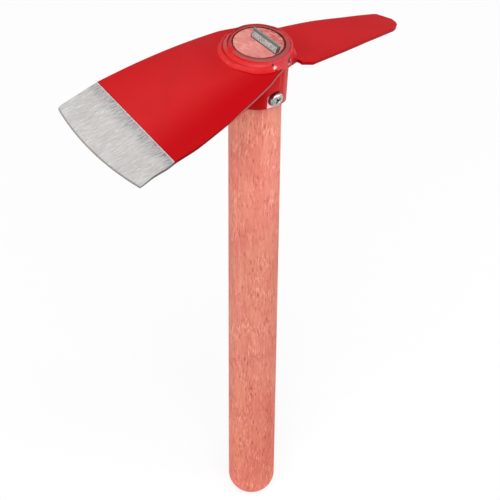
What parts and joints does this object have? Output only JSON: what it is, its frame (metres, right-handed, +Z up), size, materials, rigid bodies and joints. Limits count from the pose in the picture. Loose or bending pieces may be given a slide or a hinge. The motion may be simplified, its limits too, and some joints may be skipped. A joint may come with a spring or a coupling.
{
  "type": "weeding hoe",
  "caption": "Hand weeding hoe: broad red hoe blade with a ground edge, narrow blade behind, welded to a tube wedged and screwed on a short wooden handle",
  "frame": {"origin": "centre of the small flat on the butt of the handle", "axes": "Z runs up the handle from the butt, X from the cutting edge of the broad blade toward the tip of the narrow blade, Y to the side away from the screw"},
  "size_m": [0.2213, 0.0868, 0.4037],
  "materials": {
    "wood": "satin",
    "bare_steel": "matte",
    "zinc": "gloss",
    "red_paint": "gloss"
  },
  "bodies": {
    "root": {"handle": "wood", "steel_wedge": "bare_steel", "eye_socket": "red_paint", "socket_screw": "zinc", "hoe_blade": "red_paint", "hoe_weld": "red_paint", "rear_blade": "red_paint", "rear_weld": "red_paint"}
  },
  "joints": []
}
